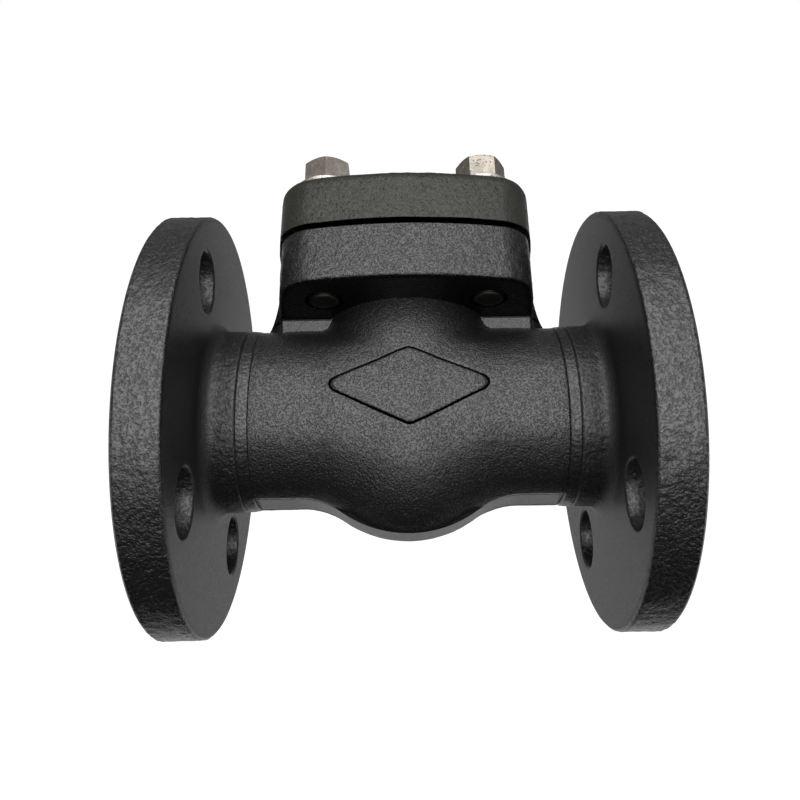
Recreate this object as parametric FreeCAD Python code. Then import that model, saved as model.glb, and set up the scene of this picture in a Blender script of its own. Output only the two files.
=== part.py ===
import FreeCAD, Part
import math
import os

# Piston check valve with flanged ends and a bolted cover, in millimetres.
# The origin is the centre of the inlet's raised face. +X is the flow, +Z points up the cover.
# Pieces are drawn about the valve's centre on the pipe axis and moved to the origin at the end.

# Ends
face_to_face = 127.0
port_bore = 25.0
flange_diameter = 110.0
flange_rim = 10.9
flange_edge_round = 0.8
raised_face_diameter = 50.8
raised_face_height = 1.6
pipe_bolt_hole = 15.9
pipe_bolt_edge = 7.35
pipe_bolt_count = 4
hub_diameter = 48.4
hub_fillet = 3.5

# Butt welds between the flange hubs and the body
weld_from_centre = 41.0
weld_root_gap = 1.6
weld_cap_width = 3.0
weld_cap_height = 0.3

# Body forging
run_diameter = 47.8
globe_reach_x = 28.5
globe_reach_y = 25.2
globe_depth = 32.6
land_on_run = 22.8
land_under_globe = 31.8
land_globe_radius = 30.1
land_blend = 20.0
land_half_width = 6.0
neck_reach_y = 22.5
web_half_thickness = 9.8
web_top_inset = 0.4
web_reach_foot = 36.7
web_foot_fillet = 3.0
pad_half_width = 22.0
pad_top = 10.4
pad_side = 1.3
pad_bottom = -9.0
pad_height = 0.6
pad_corner_round = 1.5

# Body's bolting flange and the cover, both rounded squares with bowed sides
cover_overhang = 0.6
body_flange_half_width = 35.3
square_corner = 10.4
square_side_radius = 125.0
body_flange_bottom = 25.3
body_flange_top = 40.7
body_flange_edge_round = 1.5
cover_gap = 1.2
cover_thickness = 15.4
cover_top_round = 3.5
cover_bottom_round = 0.6

# Bore that guides the piston, and the seat
guide_bore = 30.0
guide_clearance = 0.05
chamber_floor = 3.0
seat_ring_diameter = 24.0
seat_ring_bottom = -2.5
seat_height = 5.0
seat_bore = 17.5
seat_edge_chamfer = 0.8

# Passages drilled from the ends
end_bore_depth = 7.0
inlet_entry_drop = 3.0
inlet_drop = 13.6
outlet_passage = 17.5
outlet_entry_rise = 2.0
outlet_rise = 12.0
passage_lead = 4.0

# Gasket joint
gasket_outer = 44.0
gasket_inner = 34.0
gasket_thickness = 3.0
gasket_recess_depth = 4.0
spigot_clearance = 0.4

# Piston
piston_nose = 24.4
piston_nose_height = 12.5
piston_height = 29.5
piston_bore = 18.0
piston_floor = 5.0
piston_lift = 7.0
piston_stop_clearance = 0.1
piston_edge_chamfer = 0.6
balance_hole = 3.0
balance_hole_height = 9.5

# Spring between the piston's floor and the cover's pocket
spring_wire = 0.9
spring_mean = 13.0
spring_turns = 9.0
spring_pocket = 16.0
spring_pocket_depth = 6.5
spring_end_clearance = 0.02
cover_cavity = 32.0

# Cover bolts, one near each corner, with their washers
cover_bolt_inset = 13.7
bolt_diameter = 8.0
bolt_head_flats = 12.0
bolt_head_height = 8.0
bolt_head_chamfer = 30.0
bolt_tip_chamfer = 0.9
bolt_tip_recess = 1.2
bolt_hole_in_cover = 9.0
tapped_mouth = 11.0
thread_clearance = 0.03
washer_diameter = 17.6
washer_bore = 8.4
washer_thickness = 2.0
washer_edge_chamfer = 0.3

# Places that follow from the sizes above
half_length = face_to_face / 2.0
flange_back = half_length - raised_face_height - flange_rim
pipe_bolt_circle = flange_diameter - pipe_bolt_hole - 2.0 * pipe_bolt_edge
run_radius = run_diameter / 2.0
cover_half_width = body_flange_half_width + cover_overhang
cover_bottom = body_flange_top + cover_gap
cover_top = cover_bottom + cover_thickness
gasket_bottom = body_flange_top - gasket_recess_depth
gasket_top = gasket_bottom + gasket_thickness
piston_top = seat_height + piston_height
cavity_ceiling = piston_top + piston_lift + piston_stop_clearance
pocket_ceiling = cavity_ceiling + spring_pocket_depth
half_pitch = body_flange_half_width - cover_bolt_inset

X = FreeCAD.Vector(1, 0, 0)
Y = FreeCAD.Vector(0, 1, 0)
Z = FreeCAD.Vector(0, 0, 1)
valve_centre = FreeCAD.Vector(half_length, 0, 0)


def at(x, y, z):
    return FreeCAD.Vector(x, y, z)


def rod(radius, start, axis, length):
    return Part.makeCylinder(radius, length, start, axis)


def block(x0, x1, y0, y1, z0, z1):
    return Part.makeBox(x1 - x0, y1 - y0, z1 - z0, at(x0, y0, z0))


def turned(points, axis=Z):
    """Solid of revolution about Z from (radius, height) points, or about X from (radius, x) points."""
    if axis == Z:
        outline = [at(radius, 0, height) for radius, height in points]
    else:
        outline = [at(height, 0, radius) for radius, height in points]
    face = Part.Face(Part.makePolygon(outline + outline[:1]))
    return face.revolve(at(0, 0, 0), axis, 360)


def mirrored(shape):
    """The same piece on the outlet side."""
    return shape.mirror(at(0, 0, 0), X)


def bow_arc(start, middle, end):
    return Part.Arc(start, middle, end).toShape()


def rounded_square(half_width, z0, z1):
    """Prism whose four sides bow out on a large radius and run smoothly into round corners."""
    side_centre = square_side_radius - half_width
    between = square_side_radius - square_corner
    corner = (math.sqrt(2.0 * between ** 2 - side_centre ** 2) - side_centre) / 2.0
    share = square_side_radius / between
    touch_x = (corner + side_centre) * share - side_centre
    touch_y = corner * share
    corner_middle = corner + square_corner * math.sqrt(0.5)
    quarter = [
        bow_arc(at(touch_x, -touch_y, z0), at(half_width, 0, z0), at(touch_x, touch_y, z0)),
        bow_arc(at(touch_x, touch_y, z0), at(corner_middle, corner_middle, z0), at(touch_y, touch_x, z0)),
    ]
    edges = []
    for turn in range(4):
        for edge in quarter:
            placed = edge.copy()
            placed.rotate(at(0, 0, z0), Z, 90.0 * turn)
            edges.append(placed)
    return Part.Face(Part.Wire(edges)).extrude(Z * (z1 - z0))


def level_edges(shape, height):
    """Edges of the shape that lie wholly at one height."""
    chosen = []
    for edge in shape.Edges:
        box = edge.BoundBox
        if abs(box.ZMin - height) < 0.01 and abs(box.ZMax - height) < 0.01:
            chosen.append(edge)
    return chosen


def bolt_places():
    """Name and centre of each cover bolt."""
    places = {}
    for depth, y in (("front", -half_pitch), ("rear", half_pitch)):
        for side, x in (("left", -half_pitch), ("right", half_pitch)):
            places[depth + "_" + side] = (x, y)
    return places


def inlet_flange():
    """Welding-neck flange on the inlet side, with its raised face at the far left."""
    face_x = -half_length
    rim_x = face_x + raised_face_height
    back_x = -flange_back
    root_x = -weld_from_centre - weld_root_gap / 2.0
    cap_x = -weld_from_centre - weld_cap_width / 2.0
    hub = hub_diameter / 2.0
    rim = flange_diameter / 2.0
    round_cut = flange_edge_round
    flange = turned(
        [
            (port_bore / 2.0, face_x),
            (raised_face_diameter / 2.0, face_x),
            (raised_face_diameter / 2.0, rim_x),
            (rim - round_cut, rim_x),
            (rim, rim_x + round_cut),
            (rim, back_x - round_cut),
            (rim - round_cut, back_x),
            (hub, back_x),
            (hub, cap_x),
            (port_bore / 2.0, root_x),
        ],
        X,
    )
    corner = [e for e in flange.Edges if is_ring(e, hub, back_x)]
    flange = flange.makeFillet(hub_fillet, corner)
    for number in range(pipe_bolt_count):
        angle = math.radians((number + 0.5) * 360.0 / pipe_bolt_count)
        y = pipe_bolt_circle / 2.0 * math.cos(angle)
        z = pipe_bolt_circle / 2.0 * math.sin(angle)
        flange = flange.cut(rod(pipe_bolt_hole / 2.0, at(face_x, y, z), X, face_to_face / 2.0 - flange_back))
    return flange


def is_ring(edge, radius, x):
    """True for a full circle of this radius about the pipe axis at this x."""
    box = edge.BoundBox
    flat = abs(box.XMin - x) < 0.01 and abs(box.XMax - x) < 0.01
    return flat and abs(box.ZMax - radius) < 0.05


def inlet_weld():
    """Ring of weld metal in the groove between the hub and the body, with a low cap."""
    root = weld_root_gap / 2.0
    cap = weld_cap_width / 2.0
    inner = port_bore / 2.0
    return turned(
        [
            (inner, -weld_from_centre - root),
            (hub_diameter / 2.0, -weld_from_centre - cap),
            (hub_diameter / 2.0 + weld_cap_height, -weld_from_centre),
            (run_radius, -weld_from_centre + cap),
            (inner, -weld_from_centre + root),
        ],
        X,
    )


def run_blank():
    """Round run of the body, bevelled at both ends for the welds."""
    root = weld_from_centre - weld_root_gap / 2.0
    cap = weld_from_centre - weld_cap_width / 2.0
    inner = port_bore / 2.0
    return turned([(0, -root), (inner, -root), (run_radius, -cap), (run_radius, cap), (inner, root), (0, root)], X)


def ellipsoid(reach_x, reach_y, reach_z):
    ball = Part.makeSphere(1.0)
    stretch = FreeCAD.Matrix()
    stretch.scale(reach_x, reach_y, reach_z)
    return ball.transformGeometry(stretch)


def globe(grown=0.0):
    """Round chamber: a bowl below the pipe axis and a barrel that narrows into the neck above it."""
    reach_x = globe_reach_x + grown
    reach_y = globe_reach_y + grown
    narrowing = math.sqrt(1.0 - (neck_reach_y / globe_reach_y) ** 2)
    bowl = ellipsoid(reach_x, reach_y, globe_depth + grown)
    barrel = ellipsoid(reach_x, reach_y, body_flange_bottom / narrowing + grown)
    wide = 2.0 * globe_reach_x
    bowl = bowl.common(block(-wide, wide, -wide, wide, -wide, 0))
    barrel = barrel.common(block(-wide, wide, -wide, wide, 0, body_flange_bottom + 1.0))
    return bowl.fuse(barrel)


def web():
    """Thick web under the body's flange, flared at its foot where it meets the run."""
    foot_x = web_reach_foot + web_foot_fillet
    foot_z = run_radius - 0.6
    arc_start = at(web_reach_foot, 0, foot_z + web_foot_fillet)
    arc_middle = at(
        foot_x - web_foot_fillet * math.sqrt(0.5),
        0,
        foot_z + web_foot_fillet * (1.0 - math.sqrt(0.5)),
    )
    arc_end = at(foot_x, 0, foot_z)
    top_x = body_flange_half_width - web_top_inset
    corners = [arc_end, at(foot_x, 0, 0), at(-foot_x, 0, 0), at(-foot_x, 0, foot_z)]
    left_middle = at(-arc_middle.x, 0, arc_middle.z)
    left_start = at(-arc_start.x, 0, arc_start.z)
    tops = [left_start, at(-top_x, 0, body_flange_top), at(top_x, 0, body_flange_top), arc_start]
    edges = [bow_arc(arc_start, arc_middle, arc_end)]
    edges += Part.makePolygon(corners).Edges
    edges.append(bow_arc(at(-foot_x, 0, foot_z), left_middle, left_start))
    edges += Part.makePolygon(tops).Edges
    plate = Part.Face(Part.Wire(Part.__sortEdges__(edges)))
    plate.translate(at(0, -web_half_thickness, 0))
    return plate.extrude(Y * 2.0 * web_half_thickness)


def land_outline():
    """Lower outline of the trimmed parting line, as edges from -X to +X, with its end x and height."""
    centre_z = -land_under_globe + land_globe_radius
    drop = centre_z + land_on_run
    blend_x = math.sqrt((land_globe_radius + land_blend) ** 2 - (drop + land_blend) ** 2)
    share = land_globe_radius / (land_globe_radius + land_blend)
    touch_x = blend_x * share
    touch_z = centre_z - (drop + land_blend) * share
    turn = math.atan2(blend_x - touch_x, touch_z + land_on_run + land_blend) / 2.0
    middle_x = blend_x - land_blend * math.sin(turn)
    middle_z = -land_on_run - land_blend + land_blend * math.cos(turn)
    end_x = weld_from_centre
    edges = [
        Part.makeLine(at(-end_x, 0, -land_on_run), at(-blend_x, 0, -land_on_run)),
        bow_arc(at(-blend_x, 0, -land_on_run), at(-middle_x, 0, middle_z), at(-touch_x, 0, touch_z)),
        bow_arc(at(-touch_x, 0, touch_z), at(0, 0, -land_under_globe), at(touch_x, 0, touch_z)),
        bow_arc(at(touch_x, 0, touch_z), at(middle_x, 0, middle_z), at(blend_x, 0, -land_on_run)),
        Part.makeLine(at(blend_x, 0, -land_on_run), at(end_x, 0, -land_on_run)),
    ]
    return edges, end_x


def above_land(half_depth, height):
    """Prism of everything above the trimmed parting line, this deep to front and back."""
    edges, end_x = land_outline()
    corners = [at(end_x, 0, -land_on_run), at(end_x, 0, height), at(-end_x, 0, height), at(-end_x, 0, -land_on_run)]
    edges += Part.makePolygon(corners).Edges
    plate = Part.Face(Part.Wire(Part.__sortEdges__(edges)))
    plate.translate(at(0, -half_depth, 0))
    return plate.extrude(Y * 2.0 * half_depth)


def name_pad():
    """Plain raised diamond on the front of the body, following its curve."""
    corners = [
        at(-pad_half_width, 0, pad_side),
        at(0, 0, pad_top),
        at(pad_half_width, 0, pad_side),
        at(0, 0, pad_bottom),
    ]
    diamond = Part.Face(Part.makePolygon(corners + corners[:1])).extrude(Y * -2.0 * globe_reach_y)
    sharp = [e for e in diamond.Edges if abs(abs(e.CenterOfMass.x) - pad_half_width) < 0.01]
    diamond = diamond.makeFillet(pad_corner_round, [e for e in sharp if abs(e.tangentAt(e.FirstParameter).y) > 0.9])
    raised_run = rod(run_radius + pad_height, at(-pad_half_width - 1.0, 0, 0), X, 2.0 * pad_half_width + 2.0)
    return diamond.common(raised_run.fuse(globe(pad_height)))


def forging():
    """Outside of the body, solid right through."""
    raw = run_blank().fuse(globe())
    raw = raw.common(above_land(2.0 * globe_reach_x, body_flange_top))
    rib = above_land(land_half_width, 0.0).common(run_limits())
    flange = rounded_square(body_flange_half_width, body_flange_bottom, body_flange_top)
    flange = flange.makeFillet(body_flange_edge_round, level_edges(flange, body_flange_bottom))
    return raw.fuse([rib, flange, web().common(run_limits()), name_pad()]).removeSplitter()


def run_limits():
    """Space between the two weld bevels."""
    root = weld_from_centre - weld_root_gap / 2.0
    cap = weld_from_centre - weld_cap_width / 2.0
    inner = port_bore / 2.0
    slope = (root - cap) / (run_radius - inner)
    far = 4.0 * run_radius
    far_x = root - slope * (far - inner)
    return turned([(0, -root), (inner, -root), (far, -far_x), (far, far_x), (inner, root), (0, root)], X)


def sloping_bore(diameter, from_point, to_point):
    """Cylinder between two points that starts a little before the first."""
    direction = to_point - from_point
    lead = direction * (passage_lead / direction.Length)
    return rod(diameter / 2.0, from_point - lead, direction, direction.Length + passage_lead)


def passages():
    """Everything drilled out of the forging for the flow, the seat and the piston."""
    ends = weld_from_centre - end_bore_depth
    bores = []
    for side in (-1.0, 1.0):
        bores.append(rod(port_bore / 2.0, at(side * half_length, 0, 0), X * -side, half_length - ends))
    turning_point = at(0, 0, -inlet_drop)
    bores.append(sloping_bore(seat_bore, at(-ends, 0, -inlet_entry_drop), turning_point))
    bores.append(Part.makeSphere(seat_bore / 2.0, turning_point))
    bores.append(rod(seat_bore / 2.0, turning_point, Z, inlet_drop + seat_height))
    bridge = rod(guide_bore / 2.0 - 0.5, at(0, 0, -globe_depth), Z, globe_depth + chamber_floor)
    outlet = sloping_bore(outlet_passage, at(ends, 0, outlet_entry_rise), at(0, 0, chamber_floor + outlet_rise))
    bores.append(outlet.cut(bridge))
    ring_depth = chamber_floor - seat_ring_bottom
    bores.append(rod(seat_ring_diameter / 2.0, at(0, 0, seat_ring_bottom), Z, ring_depth + 1.0))
    bores.append(rod(guide_bore / 2.0, at(0, 0, chamber_floor), Z, body_flange_top))
    bores.append(rod(gasket_outer / 2.0 + spigot_clearance, at(0, 0, gasket_bottom), Z, body_flange_top))
    return bores


def tapped_holes():
    """Through holes for the cover bolts, countersunk under the body's flange."""
    radius = bolt_diameter / 2.0 + thread_clearance
    mouth = tapped_mouth / 2.0
    depth = mouth - radius
    hole = turned(
        [
            (0, body_flange_bottom - 1.0),
            (mouth, body_flange_bottom - 1.0),
            (mouth, body_flange_bottom),
            (radius, body_flange_bottom + depth),
            (radius, body_flange_top + 1.0),
            (0, body_flange_top + 1.0),
        ]
    )
    return placed_at_bolts(hole)


def placed_at_bolts(shape):
    copies = []
    for x, y in bolt_places().values():
        copy = shape.copy()
        copy.translate(at(x, y, 0))
        copies.append(copy)
    return copies


def body():
    return forging().cut(passages() + tapped_holes())


def seat_ring():
    """Ring pressed into the bridge, with its flat seat on top."""
    outer = seat_ring_diameter / 2.0
    inner = seat_bore / 2.0
    return turned(
        [
            (inner, seat_ring_bottom),
            (outer, seat_ring_bottom),
            (outer, seat_height - seat_edge_chamfer),
            (outer - seat_edge_chamfer, seat_height),
            (inner, seat_height),
        ]
    )


def piston():
    """Cup that seats on its nose and is guided by its skirt, with two balance holes in the nose."""
    nose = piston_nose / 2.0
    skirt = guide_bore / 2.0 - guide_clearance
    inner = piston_bore / 2.0
    edge = piston_edge_chamfer
    shoulder = seat_height + piston_nose_height
    shape = turned(
        [
            (0, seat_height),
            (nose - edge, seat_height),
            (nose, seat_height + edge),
            (nose, shoulder),
            (skirt - edge, shoulder),
            (skirt, shoulder + edge),
            (skirt, piston_top - edge),
            (skirt - edge, piston_top),
            (inner, piston_top),
            (inner, seat_height + piston_floor),
            (0, seat_height + piston_floor),
        ]
    )
    cross = rod(balance_hole / 2.0, at(0, -guide_bore, seat_height + balance_hole_height), Y, 2.0 * guide_bore)
    return shape.cut(cross)


def piston_spring():
    """Coil spring from the piston's floor to the pocket in the cover."""
    low = seat_height + piston_floor + spring_wire / 2.0 + spring_end_clearance
    high = pocket_ceiling - spring_wire / 2.0 - spring_end_clearance
    radius = spring_mean / 2.0
    helix = Part.makeHelix((high - low) / spring_turns, high - low, radius)
    helix.translate(at(0, 0, low))
    section = Part.Wire(Part.makeCircle(spring_wire / 2.0, at(radius, 0, low), Y))
    return Part.Wire(helix.Edges).makePipeShell([section], True, True)


def cover_gasket():
    """Spiral-wound gasket in the recess of the body."""
    return turned(
        [
            (gasket_inner / 2.0, gasket_bottom),
            (gasket_outer / 2.0, gasket_bottom),
            (gasket_outer / 2.0, gasket_top),
            (gasket_inner / 2.0, gasket_top),
        ]
    )


def cover():
    """Thick cover with a spigot onto the gasket, the piston's cavity and the spring's pocket."""
    slab = rounded_square(cover_half_width, cover_bottom, cover_top)
    slab = slab.makeFillet(cover_top_round, level_edges(slab, cover_top))
    slab = slab.makeFillet(cover_bottom_round, level_edges(slab, cover_bottom))
    spigot = rod(gasket_outer / 2.0, at(0, 0, gasket_top), Z, cover_bottom - gasket_top + 1.0)
    cavity = rod(cover_cavity / 2.0, at(0, 0, gasket_top - 1.0), Z, cavity_ceiling - gasket_top + 1.0)
    pocket = rod(spring_pocket / 2.0, at(0, 0, gasket_top), Z, pocket_ceiling - gasket_top)
    hole = rod(bolt_hole_in_cover / 2.0, at(0, 0, cover_bottom - 1.0), Z, cover_thickness + 2.0)
    return slab.fuse(spigot).cut([cavity, pocket] + placed_at_bolts(hole))


def cover_washer():
    outer = washer_diameter / 2.0
    edge = washer_edge_chamfer
    top = cover_top + washer_thickness
    return turned(
        [
            (washer_bore / 2.0, cover_top),
            (outer, cover_top),
            (outer, top - edge),
            (outer - edge, top),
            (washer_bore / 2.0, top),
        ]
    )


def cover_bolt():
    """Hexagon bolt whose head stands on its washer and whose tip stops short of the flange's underside."""
    head_bottom = cover_top + washer_thickness
    head_top = head_bottom + bolt_head_height
    tip = body_flange_bottom + bolt_tip_recess
    across_corners = bolt_head_flats / math.cos(math.radians(30.0))
    corners = []
    for number in range(7):
        angle = math.radians(60.0 * number)
        x = across_corners / 2.0 * math.cos(angle)
        y = across_corners / 2.0 * math.sin(angle)
        corners.append(at(x, y, head_bottom))
    hexagon = Part.Face(Part.makePolygon(corners)).extrude(Z * bolt_head_height)
    flat_radius = bolt_head_flats / 2.0 * 0.97
    slope = math.tan(math.radians(bolt_head_chamfer))
    reach = across_corners
    crown = turned(
        [
            (0, head_bottom - 1.0),
            (reach, head_bottom - 1.0),
            (reach, head_top - (reach - flat_radius) * slope),
            (flat_radius, head_top),
            (0, head_top),
        ]
    )
    radius = bolt_diameter / 2.0
    shank = turned(
        [
            (0, tip),
            (radius - bolt_tip_chamfer, tip),
            (radius, tip + bolt_tip_chamfer),
            (radius, head_bottom + 1.0),
            (0, head_bottom + 1.0),
        ]
    )
    return hexagon.common(crown).fuse(shank).removeSplitter()


def save(name, shape):
    placed = shape.copy()
    placed.translate(valve_centre)
    solids = placed.Solids
    if len(solids) == 1:
        placed = solids[0]
    placed.exportStep(os.path.join("parts", name + ".step"))
    print(name, "solids", len(solids), "valid", placed.isValid(), "volume", round(placed.Volume, 1))


def main():
    os.makedirs("parts", exist_ok=True)
    save("body", body())
    save("inlet_flange", inlet_flange())
    save("outlet_flange", mirrored(inlet_flange()))
    save("inlet_weld", inlet_weld())
    save("outlet_weld", mirrored(inlet_weld()))
    save("seat_ring", seat_ring())
    save("piston", piston())
    save("piston_spring", piston_spring())
    save("cover_gasket", cover_gasket())
    save("cover", cover())
    for name, (x, y) in bolt_places().items():
        bolt = cover_bolt()
        if x < 0:
            bolt.rotate(at(0, 0, 0), Z, 30.0)
        bolt.translate(at(x, y, 0))
        save("cover_bolt_" + name, bolt)
        washer = cover_washer()
        washer.translate(at(x, y, 0))
        save("cover_washer_" + name, washer)


main()
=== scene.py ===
import math
from functools import partialmethod

import bmesh
import bpy
import numpy as np
from mathutils import Matrix, Vector


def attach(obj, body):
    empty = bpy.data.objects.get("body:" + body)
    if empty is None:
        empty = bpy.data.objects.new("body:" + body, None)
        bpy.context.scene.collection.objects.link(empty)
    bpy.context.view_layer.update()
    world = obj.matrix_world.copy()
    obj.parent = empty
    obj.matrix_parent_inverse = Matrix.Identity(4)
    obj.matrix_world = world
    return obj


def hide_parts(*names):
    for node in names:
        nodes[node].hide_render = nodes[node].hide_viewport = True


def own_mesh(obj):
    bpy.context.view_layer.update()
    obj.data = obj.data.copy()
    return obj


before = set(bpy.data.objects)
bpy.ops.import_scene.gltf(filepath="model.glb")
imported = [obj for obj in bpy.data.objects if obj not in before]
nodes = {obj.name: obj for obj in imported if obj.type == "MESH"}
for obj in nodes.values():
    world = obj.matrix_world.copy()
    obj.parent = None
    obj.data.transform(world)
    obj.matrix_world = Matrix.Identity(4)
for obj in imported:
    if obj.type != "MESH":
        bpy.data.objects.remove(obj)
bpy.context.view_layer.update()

mm = 0.001
print("frame loaded:", len(nodes), "nodes")


class Signal:  # one output of a shader tree, so that sums can be written as plain expressions
    def __init__(self, tree, socket=None):
        self.tree = tree
        self.socket = socket

    def node(self, kind, settings, values, out=0):
        made = self.tree.nodes.new(kind)
        for name, value in settings.items():
            setattr(made, name, value)
        for name, value in values.items():
            if isinstance(value, Signal):
                self.tree.links.new(value.socket, made.inputs[name])
            else:
                made.inputs[name].default_value = value
        return Signal(self.tree, made.outputs[out] if made.outputs else None)

    def calc(self, operation, other=0.0):
        return self.node("ShaderNodeMath", {"operation": operation}, {0: self, 1: other})

    def swapped(self, operation, other):
        return self.node("ShaderNodeMath", {"operation": operation}, {0: other, 1: self})

    def softer(self, other, reach):  # the smaller of two values, rounded where they meet
        return self.node("ShaderNodeMath", {"operation": "SMOOTH_MIN"}, {0: self, 1: other, 2: reach})

    most = partialmethod(calc, "MAXIMUM")
    __abs__ = partialmethod(calc, "ABSOLUTE")
    __add__ = partialmethod(calc, "ADD")
    __radd__ = partialmethod(swapped, "ADD")
    __sub__ = partialmethod(calc, "SUBTRACT")
    __rsub__ = partialmethod(swapped, "SUBTRACT")
    __mul__ = partialmethod(calc, "MULTIPLY")
    __rmul__ = partialmethod(swapped, "MULTIPLY")
    __truediv__ = partialmethod(calc, "DIVIDE")
    __gt__ = partialmethod(calc, "GREATER_THAN")
    __lt__ = partialmethod(calc, "LESS_THAN")


def startMaterial(name):  # the material, its tree and where a point lies
    material = bpy.data.materials.new(name)
    material.use_nodes = True
    material.node_tree.nodes.clear()
    s = Signal(material.node_tree)
    return material, s, place(s)


def place(signal):  # where a point of the piece lies, in metres, moving with the piece
    return signal.node("ShaderNodeTexCoord", {}, {}, "Object")


def noise(signal, where, size, detail, rough):  # about 0.5, with features this many mm wide
    values = {"Vector": where, "Scale": 1.0 / (size * mm), "Detail": detail, "Roughness": rough}
    return signal.node("ShaderNodeTexNoise", {"noise_dimensions": "3D"}, values, "Fac")


def between(signal, value, low, high):  # 0 below low, 1 above high, smooth between
    return signal.node("ShaderNodeMapRange", {"interpolation_type": "SMOOTHSTEP"},
                       {"Value": value, "From Min": low, "From Max": high})


def mixColour(signal, share, first, second):
    return signal.node("ShaderNodeMix", {"data_type": "RGBA", "blend_type": "MIX"},
                       {0: share, 6: grey(first), 7: grey(second)}, 2)


def grey(value):
    if isinstance(value, (int, float)):
        return (value, value, value, 1.0)
    if isinstance(value, tuple) and len(value) == 3:
        return (*value, 1.0)
    return value


clearCoat = {"Coat Roughness": 0.36, "Coat IOR": 1.62}


def finishMaterial(material, signal, look, colour, rough, metal, height, coat=0.0):
    relief = {"Strength": 1.0, "Distance": look["depth"] * mm, "Height": height}
    bump = signal.node("ShaderNodeBump", {}, relief)
    values = {"Base Color": grey(colour), "Roughness": rough, "Metallic": metal, "Normal": bump,
              "Specular IOR Level": look["specular"], "Coat Weight": coat, **clearCoat}
    shader = signal.node("ShaderNodeBsdfPrincipled", {}, values)
    signal.node("ShaderNodeOutputMaterial", {}, {"Surface": shader})
    return material


# Forged body below its bolting flange, and the two pipe flanges: sizes in mm about the valve's centre
centreX = 63.5
forging = {
    "endX": 39.5, "runRadius": 23.9, "bowl": (28.5, 25.2, 32.6), "neck": (22.6, 22.6), "neckRise": (1.32, 8.0),
    "globeBlend": 7.5, "neckBlend": 2.2, "blendAside": (5.0, 20.0), "blendUp": (12.0, 20.0),
    "webHalf": 8.4, "webX": 34.9, "webFoot": 3.6, "footRise": 6.0, "footReach": 38.6, "footTaper": 3.5,
    "taperBefore": 0.5, "webEdge": 0.8, "webBlend": 0.6, "webTop": 40.3, "webInner": 33.4, "webStep": 0.4,
    "topZ": 26.0,
    "landRun": 22.8, "landGlobe": 31.8, "landRadius": 30.1, "landBlend": 20.0, "landHalf": 6.0,
    "padHalfX": 22.0, "padTop": 10.85, "padSide": 1.3, "padBottom": -9.4, "padX": 0.3, "padRound": 0.9,
    "sideRound": 1.0, "tipReach": 19.7, "tipRound": 2.6, "padHeight": 0.28, "padSlope": (-0.12, 0.16),
    "padGroove": 0.22, "padGrooveWidth": 0.38, "padGrooveInset": 0.28, "frontY": -15.0,
    "marks": ((8.0, 0.10), (1.5, 0.03), (0.85, 0.035)), "seed": 11,
    "landSmooth": 0.85, "topFade": 1.5, "endFade": 1.0, "endMarks": 0.3, "capOut": 0.7,
    "search": (5.0, 70.0), "halvings": 26, "step": 0.40, "around": 420, "landColumns": 36,
}

pipeFlange = {
    "bore": 12.5, "face": 63.5, "raised": 25.4, "plate": 61.9, "rim": 55.2, "edge": 0.6, "back": 51.0,
    "hub": 24.2, "fillet": 3.5, "filletSteps": 9, "capX": 42.5, "rootX": 41.8,
    "around": 600, "step": 0.46, "faceStep": 0.2, "boreStep": 3.0, "raisedStep": 0.8,
    "marks": ((5.0, 0.10), (1.7, 0.07), (0.95, 0.07)), "hubMarks": 0.8, "rimFade": (0.1, 0.2),
    "hubFade": (1.0, 3.0), "hubRise": (20.0, 23.5), "capFade": 0.8,
    "grooves": (0.8, 0.035), "grooveDepth": (0.2, 0.05), "grooveInner": (13.5, 14.0), "grooveOuter": (0.3, 0.6),
    "boltCircle": 39.7, "boltRadius": 7.95, "boltEdge": 0.5,
}


# Paint: the forgings have a pebbled skin whose crests shine, worn to a lighter black here and there
forgedPaint = {
    "colour": (0.010, 0.0103, 0.010), "worn": (0.050, 0.050, 0.048), "wornShare": 0.5, "wornFrom": (0.86, 1.05),
    "rough": 0.34, "pebble": 0.54, "grain": 0.32, "grainHeight": 0.45, "depth": 0.36,
    "specular": 0.40, "sheen": 0.16, "shine": 0.85, "shineFrom": (0.46, 0.56),
}
# black is the near-black colour of the body's painted shade.
bodyPaint = dict(
    forgedPaint, cloud=9.0, chip=1.7, chipFrom=(0.70, 0.74), chipDepth=0.45, seamDepth=0.6, black=0.002,
    landColour=(0.030, 0.029, 0.024), landShare=0.7, landSmooth=0.80, landDull=0.5, underShare=0.75,
    cloudRough=0.10, grainRough=0.12, landRough=0.06, darkRough=0.45, webSheen=0.3, webShine=0.8,
)
# Most of the places below get painted shade: the land's edge, the diamond's groove, the tapped mouths, the
# bolting flange's underside and the gap under the cover.
bodyMasks = {  # where the body's paint changes, in mm
    "landInset": 0.15, "landTop": -20.5, "landShade": 0.35, "landShadeTop": -20.0,
    "seamInset": 0.2, "seamHalf": 0.32, "boltPitch": 43.2, "mouthRadius": 5.1, "mouthShadeZ": (24.0, 30.0),
    "underZ": (24.9, 25.8), "underRadius": 23.1, "underY": 1.0, "gapShadeLow": 40.62,
    "webY": (-11.0, -7.5), "webZ": (21.9, 25.2), "webX": 19.5, "webRadius": 21.0,
}
flangePaint = dict(
    forgedPaint, pebble=0.95, grain=0.42, depth=0.60, specular=0.42, rough=0.30, sheen=0.34, shine=0.95,
    fine=0.34, fineHeight=0.55, speck=0.9, speckFrom=(0.735, 0.76), speckHeight=0.25, hubShare=0.75,
    grainRough=0.10, turnedRough=0.13, holeRough=0.12, turnedShine=0.34, turnedFrom=(0.46, 0.60),
    bare=(0.42, 0.41, 0.39),
)
weldPaint = dict(forgedPaint, depth=0.2, grainRough=0.12, wornShare=0.4, wornFrom=(0.6, 0.75))
flangeMasks = {"rim": (0.8, 0.25), "hub": (3.4, 1.2), "hubWithin": 40.0, "hole": 0.25, "face": 0.3}
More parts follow.
